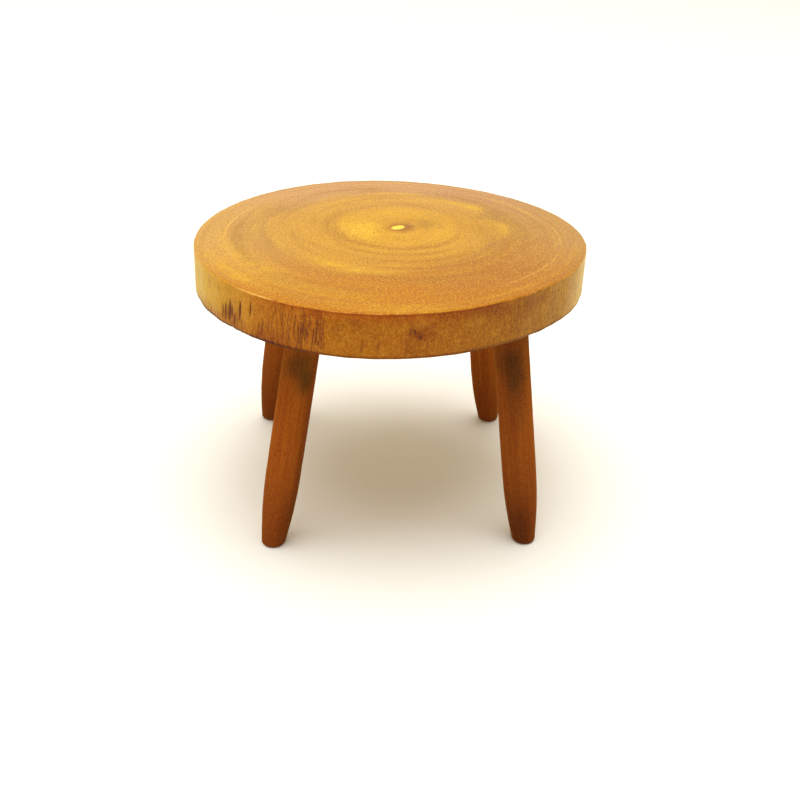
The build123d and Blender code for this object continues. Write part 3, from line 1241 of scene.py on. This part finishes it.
LEG_UNDER_SLAB_SHADE = (0.8, 0.88, 1.0, 1)  # painted shade high on the leg, under the slab
LEG_UNDER_SLAB_SPAN = (60, 80)
LEG_TOP_SHADE = (0.34, 0.52, 0.95, 1)  # painted shade high on the leg, which keeps most of the blue
LEG_SIDE_SHADE = (0.45, 0.43, 0.75, 1)  # long painted shade down the legs
LEG_DARK = (0.61, 0.66, 1.0, 1)  # a darker blank
LEG_TONES = (0.15, 0.45, 0.5, 0.38)  # how much darker each leg's blank is
SCUFFED = srgb(120, 66, 26)  # the varnish scuffed off the foot
LEG_TINTS = ((LEG_SHADE, "MULTIPLY"), (LEG_LIGHT, "MIX"))
LEG_STRANDS = ((0.8, 0.03, 3, 0.6), (0.5, 0.75, 0.4), (0.48, 0.28, 0.22))
LEG_FIBRES = ((3.4, 0.12, 3, 0.6), (0.52, 0.78, 0.35), (0.46, 0.25, 0.18))
LEG_FLECKS = ((2.2, 0.2, 2, 0.5), (0.66, 0.74, 0.5))
LEG_SPECKLE = ((1.2, 4, 0.8), (0.5, 0.66, 0.5), (0.49, 0.34, 0.28))


def leg_material():
    material, n, shader = new_material("turned leg")
    point = n.add("Attribute", output="Vector", attribute_name="grain")
    upright = partial(drawn_out, n, point)
    coat = Coat(n, n.ramp(upright(*LEG_BROAD), LEG_STOPS))
    strands = coat.grain(upright, LEG_STRANDS, LEG_TINTS)
    fibres = coat.grain(upright, LEG_FIBRES, LEG_TINTS)
    coat.grain(upright, LEG_FLECKS, LEG_TINTS)
    coat.grain(partial(n.noise, point), LEG_SPECKLE, LEG_TINTS)
    up_leg = n.attribute("up_leg")
    # painted shade towards the foot
    coat.shade(n.span(up_leg, *LEG_FOOT_SHADE_SPAN), LEG_FOOT_SHADE)
    wavering = n.swing(point, 0.14, 9, 3)
    # painted shade high on the leg, under the slab
    coat.shade(n.span(n.plus(up_leg, wavering), *LEG_UNDER_SLAB_SPAN), LEG_UNDER_SLAB_SHADE)
    # painted shade in patches high on each leg
    top_shade = n.plus(n.attribute("top_shade"), n.times(wavering, 0.02))
    coat.shade(n.span(top_shade, 0.02, 0.9), LEG_TOP_SHADE)
    # long painted shade down each leg
    coat.shade(n.span(n.attribute("shade"), 0, 1), LEG_SIDE_SHADE)
    coat.shade(n.attribute("tone"), LEG_DARK)
    foot = n.span(up_leg, 12.0, 0.0)
    scuffed = n.times(foot, n.span(n.noise(point, 0.5, 3), 0.4, 0.7, 0.1, 0.6))
    coat.lay(scuffed, SCUFFED)
    roughness = n.plus(LEG_ROUGHNESS, n.swing(point, 0.2, 0.08, 3))
    roughness = n.plus(roughness, n.times(scuffed, SCUFF_ROUGHNESS))
    height = n.plus(fibres, n.times(strands, 0.8))
    varnish(n, shader, coat.colour, roughness, height, LEG_FINISH)
    return material


# ---- the studio
FLOOR_SIZE = 20.0
FLOOR_PALE = (0.9, 0.9, 0.9, 1)
FLOOR_DIM = (0.86, 0.86, 0.86, 1)
ROOM_COLOUR = (1.0, 0.91, 0.66, 1)
SOFTBOX = {"place": (-0.2, -0.15, 2.4), "target": (0, 0, 0), "size": 2.4, "power": 65}


def make_floor():
    material, n, shader = new_material("pale floor")
    place = n.add("TexCoord", output="Object")
    mottle = n.noise(place, 3.0, 3)
    colour = n.mix(mottle, FLOOR_PALE, FLOOR_DIM)
    n.fill(shader, {"Base Color": colour, "Roughness": 0.9, "Specular IOR Level": 0.1})
    corners = [(-1, -1), (1, -1), (1, 1), (-1, 1)]
    points = np.array([(FLOOR_SIZE * x, FLOOR_SIZE * y, 0.0) for x, y in corners])
    floor = new_piece("floor", points, [(0, 1, 2, 3)], material)


def make_light(name, place, target, size, power):
    """A square softbox at a place, facing a target."""
    data = bpy.data.lights.new(name, "AREA")
    data.shape = "SQUARE"
    data.size = size
    data.energy = power
    light = add_object(name, data)
    light.location = place
    light.rotation_euler = (Vector(target) - Vector(place)).to_track_quat("-Z", "Y").to_euler()


def make_sky():
    """A pale, warm room, brighter behind the table than in front of it."""
    world = bpy.data.worlds.new("studio")
    world.use_nodes = True
    bpy.context.scene.world = world
    n = Nodes(world.node_tree)
    _, backwards, _ = n.parts(n.add("TexCoord", output="Generated"))
    strength = n.span(backwards, -0.9, 0.9, 0.5, 1.0)
    n.fill(world.node_tree.nodes["Background"], {"Color": ROOM_COLOUR, "Strength": strength})


def main():
    outline = Outline()
    legs = [Leg(node) for node in LEGS]
    leg_wood = leg_material()
    slab = make_slab(outline, legs, slice_material())
    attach(slab, "root")
    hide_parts(TABLETOP)
    for place, (leg, tone) in enumerate(zip(legs, LEG_TONES)):
        piece = make_leg(leg, LEG_SEED + place, tone, leg_wood)
        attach(piece, "root")
        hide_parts(leg.node)
    make_floor()
    make_sky()
    make_light("overhead", **SOFTBOX)
    make_camera()
    bpy.context.scene.view_settings.view_transform = "Standard"


main()
